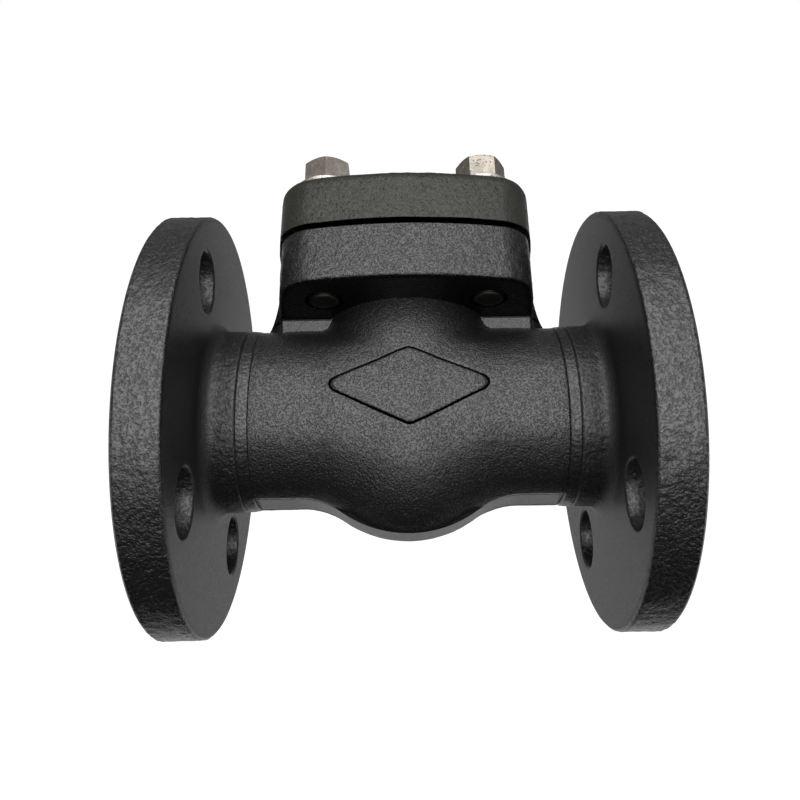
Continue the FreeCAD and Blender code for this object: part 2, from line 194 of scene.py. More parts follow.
coverPaint = {
    "colour": (0.017, 0.020, 0.014), "tint": (0.034, 0.033, 0.026), "tintSize": 7.0, "rough": 0.42,
    "grain": 0.30, "middle": 0.62, "swell": 5.0, "pit": 0.9, "pitFrom": (0.64, 0.70), "pitShare": 0.6,
    # under and black: below this height the cover gets painted shade, a near-black colour.
    "pitColour": 0.008, "streak": 0.9, "streakLength": 0.12, "depth": 0.22, "specular": 0.36, "under": 41.98,
    "black": 0.002, "swellRough": 0.12, "grainRough": 0.10, "shine": 0.3, "shineFrom": (0.46, 0.58),
    "heights": {"grain": 0.5, "middle": 0.8, "swell": 0.5, "streak": 0.30, "pit": 0.8},
}


def axes(signal, where):  # x, y and z of a point, in mm about the valve's centre
    outputs = signal.node("ShaderNodeSeparateXYZ", {}, {"Vector": where}).socket.node.outputs
    x, y, z = [Signal(signal.tree, outputs[name]) / mm for name in "XYZ"]
    return x - centreX, y, z


def reach(first, second):  # length of the two together
    return (first * first + second * second).calc("SQRT")


def inside(value, low, high):  # 1 between two values, otherwise 0
    return (value > low) * (value < high)


def line(signal, distance, half):  # 1 on a thin line, 0 this many mm away
    return 1.0 - between(signal, abs(distance), 0.5 * half, half)


def forgedHeight(s, where, look):  # pebbled skin of a forging under paint
    pebble = noise(s, where, look["pebble"], 1.5, 0.5)
    grain = noise(s, where, look["grain"], 1.0, 0.5)
    return pebble, grain, pebble + look["grainHeight"] * grain


def shineShare(s, pebble, grain, look):  # how much the crests of the skin shine
    crests = between(s, 0.5 * pebble + 0.5 * grain, *look["shineFrom"])
    return look["sheen"] + (look["shine"] - look["sheen"]) * crests


def wornShare(s, pebble, grain, look):
    return look["wornShare"] * between(s, pebble + 0.5 * grain, *look["wornFrom"])


def padRim(x, z, form):  # how far inside the diamond's edge a point lies, in mm
    proud = (x - form["padX"]) * (x - form["padX"]) + form["padRound"] ** 2
    edges = []
    for tip, turn in ((form["padTop"], 1.0), (form["padBottom"], -1.0)):
        slope = (tip - form["padSide"]) / form["padHalfX"]
        edges.append((turn / math.hypot(1.0, slope)) * (tip - slope * proud.calc("SQRT") - z))
    tips = form["tipReach"] - proud.calc("SQRT")
    return edges[0].calc("MINIMUM", edges[1]).softer(tips, form["tipRound"])


def makeBodyPaint(look, form, masks):
    material, s, where = startMaterial("forgedBlack")
    x, y, z = axes(s, where)
    farX, farY = abs(x), abs(y)
    pebble, grain, height = forgedHeight(s, where, look)
    cloud = noise(s, where, look["cloud"], 3.0, 0.6)
    land = (farY < form["landHalf"] - masks["landInset"]) * (z < masks["landTop"])
    # Painted shade: the diamond's groove, the land's upper edge and the tapped holes' mouths are coloured near
    # black, made rougher and lose their coat.
    seamShade = line(s, padRim(x, z, form) + masks["seamInset"], masks["seamHalf"]) * (y < form["frontY"])
    landEdgeShade = line(s, farY - form["landHalf"], masks["landShade"]) * (z < masks["landShadeTop"])
    boltX = masks["boltPitch"] / 2.0
    mouth = (reach(farX - boltX, farY - boltX) < masks["mouthRadius"]) * inside(z, *masks["mouthShadeZ"])
    dark = seamShade.most(landEdgeShade).most(mouth)
    chip = between(s, noise(s, where, look["chip"], 2.0, 0.5), *look["chipFrom"])
    colour = mixColour(s, wornShare(s, pebble, grain, look), look["colour"], look["worn"])
    colour = mixColour(s, look["landShare"] * land, colour, look["landColour"])
    colour = mixColour(s, dark, colour, look["black"])
    rough = look["rough"] + look["cloudRough"] * (cloud - 0.5) + look["grainRough"] * (grain - 0.5)
    rough = rough + look["landRough"] * land + look["darkRough"] * dark
    # Painted shade: the bolting flange's underside and its top face in the gap under the cover are coloured
    # near black, made metallic so they lose their shine, and lose their coat.
    under = inside(z, *masks["underZ"]) * (reach(x, y) > masks["underRadius"]) * (farY > masks["underY"])
    black = seamShade.most(mouth).most(look["underShare"] * under)
    black = black.most(z > masks["gapShadeLow"])
    colour = mixColour(s, black, colour, look["black"])
    webs = inside(y, *masks["webY"]) * inside(z, *masks["webZ"]) * (farX > masks["webX"])
    webs = webs * (reach(x, y) > masks["webRadius"])
    smooth = 1.0 - look["landSmooth"] * land
    height = height * smooth - look["chipDepth"] * chip * smooth - look["seamDepth"] * dark
    webCoat = look["webShine"] * webs * grain + look["webSheen"] * webs
    coat = shineShare(s, pebble, grain, look).most(webCoat)
    coat = coat * (1.0 - dark) * (1.0 - black) * (1.0 - look["landDull"] * land)
    return finishMaterial(material, s, look, colour, rough, black, height, coat)


def makeFlangePaint(look, form, masks):
    material, s, where = startMaterial("flangeBlack")
    x, y, z = axes(s, where)
    pebble, grain, height = forgedHeight(s, where, look)
    radius = reach(y, z)
    along = abs(x)
    onRim = between(s, radius, *[form["rim"] - inset for inset in masks["rim"]])
    onHub = 1.0 - between(s, along, *[form["back"] - behind for behind in masks["hub"]])
    onHub = onHub * (radius < masks["hubWithin"])
    boltY = form["boltCircle"] * math.sqrt(0.5)
    hole = reach(abs(y) - boltY, abs(z) - boltY) < form["boltRadius"] + masks["hole"]
    face = (along > form["face"] - masks["face"]) * (radius < form["raised"])
    fine = noise(s, where, look["fine"], 3.0, 0.6)
    speck = between(s, noise(s, where, look["speck"], 1.0, 0.5), *look["speckFrom"])
    rough = look["rough"] + look["grainRough"] * (grain - 0.5) + look["turnedRough"] * (1.0 - onRim)
    rough = rough - look["holeRough"] * hole
    coarse = onRim.most(look["hubShare"] * onHub).most(hole)
    turned = look["fineHeight"] * fine + look["speckHeight"] * speck
    height = height * coarse + turned * (1.0 - coarse)
    colour = mixColour(s, wornShare(s, pebble, grain, look) * coarse, look["colour"], look["worn"])
    colour = mixColour(s, face, colour, look["bare"])
    coat = shineShare(s, pebble, grain, look) * coarse
    coat = coat + look["turnedShine"] * between(s, fine, *look["turnedFrom"]) * (1.0 - coarse)
    return finishMaterial(material, s, look, colour, rough, face, height, coat)


def makeCoverPaint(look):
    material, s, where = startMaterial("coverBlack")
    x, y, z = axes(s, where)
    grain = noise(s, where, look["grain"], 2.0, 0.6)
    middle = noise(s, where, look["middle"], 1.5, 0.5)
    swell = noise(s, where, look["swell"], 2.0, 0.5)
    pit = between(s, noise(s, where, look["pit"], 1.5, 0.5), *look["pitFrom"])
    drawn = s.node("ShaderNodeMapping", {}, {"Vector": where, "Scale": (1.0, 1.0, look["streakLength"])})
    streak = noise(s, drawn, look["streak"], 2.0, 0.6)
    colour = mixColour(s, noise(s, where, look["tintSize"], 2.0, 0.5), look["colour"], look["tint"])
    colour = mixColour(s, look["pitShare"] * pit, colour, look["pitColour"])
    rough = look["rough"] + look["swellRough"] * (swell - 0.5) + look["grainRough"] * (grain - 0.5)
    # Painted shade: below this height the cover's underside and spigot, in the gap above the body's flange, are
    # coloured near black, made metallic so they lose their shine, and lose their coat.
    under = z < look["under"]
    colour = mixColour(s, under, colour, look["black"])
    share = look["heights"]
    height = share["grain"] * grain + share["middle"] * middle + share["swell"] * swell
    height = height + share["streak"] * streak - share["pit"] * pit
    coat = look["shine"] * between(s, 0.5 * grain + 0.5 * middle, *look["shineFrom"]) * (1.0 - under)
    return finishMaterial(material, s, look, colour, rough, under, height, coat)


def makeWeldPaint(look):
    material, s, where = startMaterial("weldBlack")
    pebble, grain, height = forgedHeight(s, where, look)
    rough = look["rough"] + look["grainRough"] * (grain - 0.5)
    worn = look["wornShare"] * between(s, pebble, *look["wornFrom"])
    colour = mixColour(s, worn, look["colour"], look["worn"])
    coat = shineShare(s, pebble, grain, look)
    return finishMaterial(material, s, look, colour, rough, 0.0, height, coat)


def makeSteel(name, look):  # bare steel: turning or drawing marks, stains and pits
    material, s, where = startMaterial(name)
    grain = noise(s, where, look["grain"], 3.0, 0.6)
    patch = noise(s, where, look["patch"], 3.0, 0.6)
    pits = between(s, noise(s, where, look["pit"], 1.5, 0.5), *look["pitFrom"])
    tone = mixColour(s, between(s, patch, *look["stainFrom"]), look["colour"], look["stain"])
    tone = mixColour(s, look["dirtShare"] * pits, tone, look["dirt"])
    if "tip" in look:
        tone = mixColour(s, axes(s, where)[2] < look["tip"], tone, look["dark"])
    rough = look["rough"] + look["patchRough"] * (patch - 0.5) + look["grainRough"] * (grain - 0.5)
    rough = rough + look["pitRough"] * pits
    return finishMaterial(material, s, look, tone, rough, 1.0, look["grainHeight"] * grain - pits)


bareSteel = {"pitFrom": (0.63, 0.70), "stainFrom": (0.35, 0.65), "dirtShare": 0.5, "patchRough": 0.16,
             "grainRough": 0.10, "pitRough": 0.25, "grainHeight": 0.5, "specular": 0.5}
stainless = dict(bareSteel, colour=(0.46, 0.42, 0.365), stain=(0.34, 0.305, 0.265), dirt=(0.15, 0.13, 0.11),
                 rough=0.47, grain=0.22, patch=2.6, pit=0.62, depth=0.09)
machined = dict(bareSteel, colour=(0.56, 0.55, 0.53), stain=(0.48, 0.47, 0.45), dirt=(0.30, 0.29, 0.28),
                rough=0.26, grain=0.15, patch=4.0, pit=0.35, depth=0.015)
boltSteel = dict(stainless, tip=41.0, dark=(0.05, 0.048, 0.044))
washerSteel = dict(stainless, colour=(0.74, 0.70, 0.65), stain=(0.62, 0.58, 0.53))


paints = {
    "forged_black": makeBodyPaint(bodyPaint, forging, bodyMasks),
    "flange_black": makeFlangePaint(flangePaint, pipeFlange, flangeMasks),
    "weld_black": makeWeldPaint(weldPaint),
    "cover_black": makeCoverPaint(coverPaint),
    "bolt_steel": makeSteel("boltSteel", boltSteel),
    "washer_steel": makeSteel("washerSteel", washerSteel),
    "seat_steel": makeSteel("seatSteel", machined),
    "piston_steel": makeSteel("pistonSteel", dict(machined, rough=0.2)),
    "spring_steel": makeSteel("springSteel", dict(machined, colour=(0.45, 0.44, 0.42))),
    "gasket_winding": makeSteel("gasketWinding", dict(machined, colour=(0.30, 0.30, 0.29), rough=0.42)),
}
slotOfNode = {"body": "forged_black", "cover": "cover_black", "cover_gasket": "gasket_winding",
              "seat_ring": "seat_steel", "piston": "piston_steel", "piston_spring": "spring_steel"}
kinds = {"flange": "flange_black", "weld": "weld_black", "bolt": "bolt_steel", "washer": "washer_steel"}
for name in nodes:
    for kind, slot in kinds.items():
        if kind in name.split("_"):
            slotOfNode[name] = slot
for name, node in nodes.items():
    node.data.materials.clear()
    node.data.materials.append(paints[slotOfNode[name]])
print("materials made:", len(paints))


# Helpers for meshes built from grids of points
latticeCells = 64
latticeStart = 37.3  # keeps the valve's middle off a lattice point
overcut = 1.0  # mm that a cutting tool stands out of the metal


def latticeNoise(points, size, seed):  # smooth noise from -1 to 1 with features about this many mm wide
    table = np.random.default_rng(seed).uniform(-1.0, 1.0, (latticeCells, latticeCells, latticeCells))
    scaled = points / size + latticeStart
    whole = np.floor(scaled).astype(int)
    part = scaled - whole
    part = part * part * (3.0 - 2.0 * part)
    total = np.zeros(len(points))
    for corner in range(8):
        step = np.array([corner & 1, corner >> 1 & 1, corner >> 2 & 1])
        weight = np.prod(np.where(step == 1, part, 1.0 - part), axis=1)
        cell = (whole + step) % latticeCells
        total += weight * table[cell[:, 0], cell[:, 1], cell[:, 2]]
    return total


def forgedNoise(points, look, seed):  # scale and hammer marks of a forging, in mm
    total = np.zeros(len(points))
    for number, (size, height) in enumerate(look):
        total += height * latticeNoise(points, size, seed + number)
    return total


def gridFaces(rows, columns):  # quads of a grid whose columns close on themselves
    row = np.arange(rows - 1)[:, None] * columns
    column = np.arange(columns)[None, :]
    after = (column + 1) % columns
    faces = np.stack([row + column, row + after, row + columns + after, row + columns + column], axis=-1)
    return faces.reshape(-1, 4).tolist()


def fan(ring, tip, turned):  # triangles from a closed ring of points to one point
    pairs = list(zip(ring, ring[1:] + ring[:1]))
    return [(b, a, tip) if turned else (a, b, tip) for a, b in pairs]


def closedFaces(rows, columns):  # a grid whose two ends are closed by fans to the last two points
    count = rows * columns
    faces = gridFaces(rows, columns) + fan(list(range(columns)), count, True)
    return faces + fan(list(range(count - columns, count)), count + 1, False)


def turnFacesOut(piece):
    work = bmesh.new()
    work.from_mesh(piece.data)
    bmesh.ops.recalc_face_normals(work, faces=work.faces)
    work.to_mesh(piece.data)
    work.free()


def makePiece(name, points, faces, slot):
    mesh = bpy.data.meshes.new(name)
    mesh.from_pydata(((np.asarray(points) + (centreX, 0.0, 0.0)) * mm).tolist(), [], faces)
    mesh.validate()
    mesh.update()
    piece = bpy.data.objects.new(name, mesh)
    bpy.context.scene.collection.objects.link(piece)
    piece.data.materials.append(paints[slot])
    mesh.shade_smooth()
    turnFacesOut(piece)
    return piece


def turnedTool(name, outline, axis, at=(0.0, 0.0, 0.0), steps=96):  # closed solid of revolution, for cutting
    angles = np.linspace(0.0, 2.0 * math.pi, steps, endpoint=False)
    rings = []
    for radius, height in outline:
        side, up = radius * np.cos(angles), radius * np.sin(angles)
        flat = np.full(steps, height)
        columns = (flat, side, up) if axis == "X" else (side, up, flat)
        rings.append(np.stack(columns, axis=1))
    ends = [(outline[0][1], 0.0, 0.0), (outline[-1][1], 0.0, 0.0)]
    if axis == "Z":
        ends = [(0.0, 0.0, outline[0][1]), (0.0, 0.0, outline[-1][1])]
    points = np.concatenate(rings + [np.array(ends)]) + np.array(at)
    tool = makePiece(name, points, closedFaces(len(outline), steps), "seat_steel")
    tool.data.materials.clear()
    return tool


def slopingTool(name, radius, start, end):  # round bar between two points
    start, end = Vector(start), Vector(end)
    tool = turnedTool(name, [(radius, 0.0), (radius, (end - start).length)], "Z", (-centreX, 0.0, 0.0))
    turn = Vector((0.0, 0.0, 1.0)).rotation_difference(end - start).to_matrix().to_4x4()
    tool.data.transform(Matrix.Translation((start + Vector((centreX, 0.0, 0.0))) * mm) @ turn)
    return tool


def cut(piece, tools, join=()):
    for operation, group in (("UNION", join), ("DIFFERENCE", tools)):
        for tool in group:
            change = piece.modifiers.new("cut", "BOOLEAN")
            change.operation = operation
            change.solver = "EXACT"
            change.object = tool
    bpy.context.view_layer.update()
    result = bpy.data.meshes.new_from_object(piece.evaluated_get(bpy.context.evaluated_depsgraph_get()))
    piece.modifiers.clear()
    old = piece.data
    result.name = old.name
    piece.data = result
    bpy.data.meshes.remove(old)
    for tool in list(tools) + list(join):
        bpy.data.objects.remove(tool)
    print(piece.name, "cut:", len(piece.data.polygons), "faces")


# Forged body below its bolting flange: run, globe, neck, webs, trimmed parting line and raised diamond
def softStep(value, low, high):
    share = np.clip((value - low) / (high - low), 0.0, 1.0)
    return share * share * (3.0 - 2.0 * share)


def smoothJoin(a, b, reach):
    share = np.maximum(reach - np.abs(a - b), 0.0) / reach
    return np.minimum(a, b) - share * share * reach / 4.0


def neckField(x, y, z, look):  # barrel that narrows from the bowl's rim into a nearly upright round neck
    rate, start = look["neckRise"]
    share = rate * z * z / (z + start) / look["topZ"]
    a = look["bowl"][0] + (look["neck"][0] - look["bowl"][0]) * share
    b = look["bowl"][1] + (look["neck"][1] - look["bowl"][1]) * share
    near = np.sqrt((x / a) ** 2 + (y / b) ** 2)
    return near * (near - 1.0) / np.maximum(np.sqrt((x / a ** 2) ** 2 + (y / b ** 2) ** 2), 1e-9)


def eggField(x, y, z, size):  # the bowl under the pipe axis
    a, b, c = size
    near = np.sqrt((x / a) ** 2 + (y / b) ** 2 + (z / c) ** 2)
    slope = np.sqrt((x / a ** 2) ** 2 + (y / b ** 2) ** 2 + (z / c ** 2) ** 2)
    return near * (near - 1.0) / np.maximum(slope, 1e-9)


def landHeight(x, look):  # lower outline of the trimmed parting line
    radius, run, blend = look["landRadius"], look["landRun"], look["landBlend"]
    centreZ = radius - look["landGlobe"]
    drop = centreZ + run
    total = radius + blend
    blendX = math.sqrt(total ** 2 - (drop + blend) ** 2)
    touchX = blendX * radius / total
    x = np.abs(x)
    bowl = centreZ - np.sqrt(np.maximum(radius ** 2 - x ** 2, 0.0))
    bend = np.sqrt(np.maximum(blend ** 2 - (x - blendX) ** 2, 0.0)) - run - blend
    return np.where(x < touchX, bowl, np.where(x < blendX, bend, -run))


def forgingField(x, y, z, look):  # below 0 inside the metal, in mm near its skin
    run = np.hypot(y, z) - look["runRadius"]
    globe = np.where(z < 0.0, eggField(x, y, z, look["bowl"]), neckField(x, y, np.maximum(z, 0.0), look))
    aside = softStep(np.abs(x), *look["blendAside"]) * (1.0 - softStep(z, *look["blendUp"]))
    field = smoothJoin(run, globe, look["neckBlend"] + (look["globeBlend"] - look["neckBlend"]) * aside)
    webX = look["webX"] + look["webFoot"] * np.exp((look["runRadius"] - z) / look["footRise"])
    taper = softStep(np.abs(x), look["webX"] - look["taperBefore"], look["footReach"])
    webHalf = look["webHalf"] - look["footTaper"] * taper
    web = -smoothJoin(webHalf - np.abs(y), np.minimum(webX, look["footReach"]) - np.abs(x), look["webEdge"])
    field = smoothJoin(field, np.maximum(web, -z), look["webBlend"])
    floor = landHeight(x, look) - z
    rib = np.maximum(np.maximum(np.abs(y) - look["landHalf"], floor), z)
    field = np.minimum(np.maximum(field, floor), rib)
    onWeb = softStep(np.abs(x), look["webInner"], look["webInner"] + look["webStep"])
    webRise = (look["webTop"] - look["topZ"]) * onWeb
    return np.maximum(field, z - look["topZ"] - webRise)


def padEdge(x, z, look):  # distance inside the diamond's edge, in mm
    x = np.sqrt((x - look["padX"]) ** 2 + look["padRound"] ** 2)
    sides = []
    for tip, turn in ((look["padTop"], 1.0), (look["padBottom"], -1.0)):
        slope = (tip - look["padSide"]) / look["padHalfX"]
        sides.append(turn * (tip - slope * x - z) / math.hypot(1.0, slope))
    return smoothJoin(smoothJoin(*sides, look["sideRound"]), look["tipReach"] - x, look["tipRound"])


def makeForging(look):
    xs = np.linspace(-look["endX"], look["endX"], int(2.0 * look["endX"] / look["step"]) + 1)
    around, band = look["around"], look["landColumns"]
    depth = -landHeight(xs, look)
    chord = np.sqrt(np.maximum(look["runRadius"] ** 2 - depth ** 2, 0.0))
    half = np.arctan2(np.maximum(look["landHalf"], chord), depth)[:, None]
    across = np.linspace(-1.0, 1.0, band + 1)[None, :]
    rest = np.linspace(0.0, 1.0, around - band + 1)[1:-1][None, :]
    turn = np.concatenate([across * half, half + rest * (2.0 * math.pi - 2.0 * half)], axis=1) - math.pi / 2.0
    x = np.repeat(xs[:, None], around, axis=1)
    outY, outZ = np.cos(turn), np.sin(turn)
    low, high = [np.full(x.shape, distance) for distance in look["search"]]
    for _ in range(look["halvings"]):
        middle = (low + high) / 2.0
        inside = forgingField(x, middle * outY, middle * outZ, look) < 0.0
        low, high = np.where(inside, middle, low), np.where(inside, high, middle)
    y, z = high * outY, high * outZ
    edge = padEdge(x, z, look)
    raised = look["padHeight"] * softStep(edge, *look["padSlope"])
    across = (edge + look["padGrooveInset"]) / look["padGrooveWidth"]
    groove = look["padGroove"] * np.maximum(1.0 - across ** 2, 0.0)
    relief = np.where(y < look["frontY"], raised - groove, 0.0)
    onLand = np.zeros(x.shape)
    onLand[:, 1:band] = 1.0
    points = np.stack([x, y, z], axis=-1).reshape(-1, 3)
    marks = forgedNoise(points, look["marks"], look["seed"]).reshape(x.shape)
    below = softStep(look["topZ"] - z, 0.0, look["topFade"])
    ends = softStep(look["endX"] - np.abs(x), 0.0, look["endFade"])
    kept = look["endMarks"] + (1.0 - look["endMarks"]) * ends
    grow = relief + marks * (1.0 - look["landSmooth"] * onLand) * below * kept
    y, z = y + grow * outY, z + grow * outZ
    points = np.stack([x, y, z], axis=-1).reshape(-1, 3).tolist()
    capX = look["endX"] + look["capOut"]
    points += [(-capX, 0.0, 0.0), (capX, 0.0, 0.0)]
    return makePiece("forgedBody", points, closedFaces(len(xs), around), "forged_black")


bores = {
    "portRadius": 12.5, "portNear": 34.0, "portFar": 60.0, "passageRadius": 8.75,
    "inlet": ((-37.8, 0.0, -1.8), (0.0, 0.0, -13.6)), "outlet": ((37.7, 0.0, 0.6), (12.0, 0.0, 10.4)),
    "seat": [(0.5, -22.3), (4.4, -21.2), (7.6, -18.0), (8.75, -13.6), (8.75, 5.0)],
    "guide": [(15.0, 3.0), (15.0, 40.0)],
}


def boreTools(look):  # everything drilled for the flow, the seat and the piston
    radius, near, far = look["portRadius"], look["portNear"], look["portFar"]
    tools = [turnedTool("inletBore", [(radius, -far), (radius, -near)], "X")]
    tools.append(turnedTool("outletBore", [(radius, near), (radius, far)], "X"))
    for name in ("inlet", "outlet"):
        tools.append(slopingTool(name + "Passage", look["passageRadius"], *look[name]))
    tools.append(turnedTool("seatBore", look["seat"], "Z"))
    tools.append(turnedTool("guideBore", look["guide"], "Z"))
    return tools


webBlock = {"endX": 34.6, "half": 10.3, "draft": 0.34, "low": 17.0, "plate": 25.3, "high": 25.9, "corner": 0.5,
            "step": 0.42, "acrossSteps": 40, "cornerSteps": 2, "marks": ((1.3, 0.05), (0.8, 0.05)), "seed": 23}


def makeWebBlock(look):  # the webs' faces under the bolting flange, leaning inwards below it
    rings = []
    endX, corner = look["endX"], look["corner"]
    for z in np.linspace(look["low"], look["high"], int((look["high"] - look["low"]) / look["step"])):
        half = look["half"] - look["draft"] * (look["plate"] - z)
        quarter = [(endX, corner - half), (endX, half - corner), (endX - corner, half), (corner - endX, half)]
        turns = quarter + [(-x, -y) for x, y in quarter]
        ring = []
        for start, end in zip(turns, turns[1:] + turns[:1]):
            steps = look["cornerSteps"]
            if start[1] == end[1]:
                steps = 2 * round(endX / look["step"])
            elif start[0] == end[0]:
                steps = look["acrossSteps"]
            ring += [(start[0] + (end[0] - start[0]) * n / steps, start[1] + (end[1] - start[1]) * n / steps, z)
                     for n in range(steps)]
        rings.append(ring)
    points = np.array(rings).reshape(-1, 3)
    points[:, 1] += np.sign(points[:, 1]) * forgedNoise(points, look["marks"], look["seed"])
    points = np.concatenate([points, [(0.0, 0.0, look["low"]), (0.0, 0.0, look["high"])]])
    return makePiece("webBlock", points, closedFaces(len(rings), len(rings[0])), "forged_black")


forgedBody = makeForging(forging)
cut(forgedBody, boreTools(bores), [makeWebBlock(webBlock)])
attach(forgedBody, "valve_body")
print("forging made")


# Bolting flange of the body and the cover: rounded squares with bowed sides
square = {"corner": 10.4, "side": 125.0, "step": 0.45, "lastInset": 9.5, "innerScale": 0.04, "innerRings": 20,
          "flatRings": 16, "roundGap": 0.2, "roundSteps": (7, 9), "middleReach": 30.0, "boltPitch": 43.2}


def squareOutline(look, half):  # normal angles of the outline, one step apart
    sideCentre = look["side"] - half
    apart = look["side"] - look["corner"]
    corner = (math.sqrt(2.0 * apart ** 2 - sideCentre ** 2) - sideCentre) / 2.0
    turn = math.atan2(corner, corner + sideCentre)
    sideSteps = int(2.0 * turn * look["side"] / look["step"])
    cornerSteps = int((math.pi / 2.0 - 2.0 * turn) * look["corner"] / look["step"])
    quarter = np.concatenate([np.linspace(-turn, turn, sideSteps, endpoint=False),
                              np.linspace(turn, math.pi / 2.0 - turn, cornerSteps, endpoint=False)])
    onSide = np.arange(len(quarter)) < sideSteps
    return quarter, onSide, sideCentre, corner


def squareRing(look, half, inset, scale, z):  # one closed ring of points
    quarter, onSide, sideCentre, corner = squareOutline(look, half)
    radius = np.where(onSide, look["side"], look["corner"]) - inset
    x = np.where(onSide, -sideCentre, corner) + radius * np.cos(quarter)
    y = np.where(onSide, 0.0, corner) + radius * np.sin(quarter)
    rings = []
    for turn in range(4):
        c, s = round(math.cos(turn * math.pi / 2.0)), round(math.sin(turn * math.pi / 2.0))
        rings.append(np.stack([c * x - s * y, s * x + c * y], axis=1))
    flat = np.concatenate(rings) * scale
    return np.concatenate([flat, np.full((len(flat), 1), z)], axis=1)


def roundCorner(radius, steps, bottom):  # (inset, height) of a quarter round, going up
    turns = np.linspace(0.0, math.pi / 2.0, steps)
    pairs = [(radius * (1.0 - math.sin(t)), radius * (1.0 - math.cos(t))) for t in turns]
    if bottom:
        return pairs
    return [(inset, -height) for inset, height in pairs[::-1]]


def plateProfile(look, z0, z1, bottomRound, topRound):  # (inset, scale, z) up from the middle below
    scales = np.linspace(look["innerScale"], 1.0, look["innerRings"])[:-1]
    inner = [(look["lastInset"], scale) for scale in scales]
    flat = np.linspace(look["lastInset"], 0.0, look["flatRings"])
    gap, (stepsBelow, stepsAbove) = look["roundGap"], look["roundSteps"]
    profile = [(inset, scale, z0) for inset, scale in inner]
    profile += [(inset, 1.0, z0) for inset in flat if inset > bottomRound + gap]
    profile += [(inset, 1.0, z0 + up) for inset, up in roundCorner(bottomRound, stepsBelow, True)]
    steps = int((z1 - z0 - bottomRound - topRound) / look["step"])
    profile += [(0.0, 1.0, z) for z in np.linspace(z0 + bottomRound, z1 - topRound, steps)[1:-1]]
    profile += [(inset, 1.0, z1 + down) for inset, down in roundCorner(topRound, stepsAbove, False)]
    profile += [(inset, 1.0, z1) for inset in flat[::-1] if inset > topRound + gap]
    profile += [(inset, scale, z1) for inset, scale in inner[::-1]]
    return profile


def makePlate(name, slot, look, half, profile, roughen):
    rings = [squareRing(look, half, inset, scale, z) for inset, scale, z in profile]
    columns = len(rings[0])
    points = np.concatenate(rings)
    outward = np.zeros(points.shape)
    for row in range(len(profile)):
        before, after = profile[max(row - 1, 0)], profile[min(row + 1, len(profile) - 1)]
        slopeIn = (after[0] - before[0]) + look["middleReach"] * (before[1] - after[1])
        slopeUp = after[2] - before[2]
        length = math.hypot(slopeIn, slopeUp) or 1.0
        ring = points[row * columns:(row + 1) * columns]
        away = np.linalg.norm(ring[:, :2], axis=1)[:, None]
        outward[row * columns:(row + 1) * columns, :2] = ring[:, :2] / away * slopeUp / length
        outward[row * columns:(row + 1) * columns, 2] = slopeIn / length
    points = points + outward * roughen(points)[:, None]
    ends = np.array([(0.0, 0.0, profile[0][2]), (0.0, 0.0, profile[-1][2])])
    return makePiece(name, np.concatenate([points, ends]), closedFaces(len(rings), columns), slot)


def boltPlaces(look):
    half = look["boltPitch"] / 2.0
    return [(x, y) for y in (-half, half) for x in (-half, half)]


bodyPlate = {
    "half": 35.3, "bottom": 25.3, "top": 40.7, "bottomRound": 1.7, "topRound": 0.35,
    "marks": ((6.0, 0.12), (1.6, 0.07), (0.9, 0.09)), "seed": 31, "flatShare": 0.15, "sideRise": (0.05, 0.8),
    "topFade": (0.1, 0.6), "mouthStart": 0.05, "tapRadius": 4.03, "mouthRadius": 4.9, "guideRadius": 15.0,
    "recessRadius": 22.4, "recessBottom": 36.7,
}


def makeBodyPlate(look):
    def roughen(points):
        marks = forgedNoise(points, look["marks"], look["seed"])
        side = softStep(points[:, 2], *[look["bottom"] + up for up in look["sideRise"]])
        top = softStep(look["top"] - points[:, 2], *look["topFade"])
        return marks * (look["flatShare"] + (1.0 - look["flatShare"]) * side) * top

    profile = plateProfile(square, look["bottom"], look["top"], look["bottomRound"], look["topRound"])
    piece = makePlate("bodyBoltingFlange", "forged_black", square, look["half"], profile, roughen)
    low, high = look["bottom"] - overcut, look["top"] + overcut
    mouth, tap = look["mouthRadius"], look["tapRadius"]
    hole = [(mouth, low), (mouth, look["bottom"] - look["mouthStart"]), (tap, look["bottom"] + mouth - tap),
            (tap, high)]
    tools = [turnedTool("tap", hole, "Z", (x, y, 0.0), steps=64) for x, y in boltPlaces(square)]
    tools.append(turnedTool("guide", [(look["guideRadius"], low), (look["guideRadius"], look["recessBottom"]),
                                      (look["recessRadius"], look["recessBottom"]),
                                      (look["recessRadius"], high)], "Z", steps=128))
    cut(piece, tools)
    return piece


coverPlate = {
    "half": 35.9, "bottom": 41.9, "top": 57.3, "bottomRound": 0.4, "topRound": 3.5,
    "marks": ((9.0, 0.12), (2.4, 0.06), (1.1, 0.04)), "seed": 51,
    "pits": (1.3, 0.55, 0.14), "pitEdge": 0.25, "pitSeed": 77,
    "sideRise": 0.4, "holeRadius": 4.5, "spigotRadius": 22.0, "spigotBottom": 39.7, "spigotTop": 43.0,
    "cavityRadius": 16.0, "cavityBottom": 36.0, "cavityTop": 41.6,
    "pocketRadius": 8.0, "pocketTop": 48.1,
}


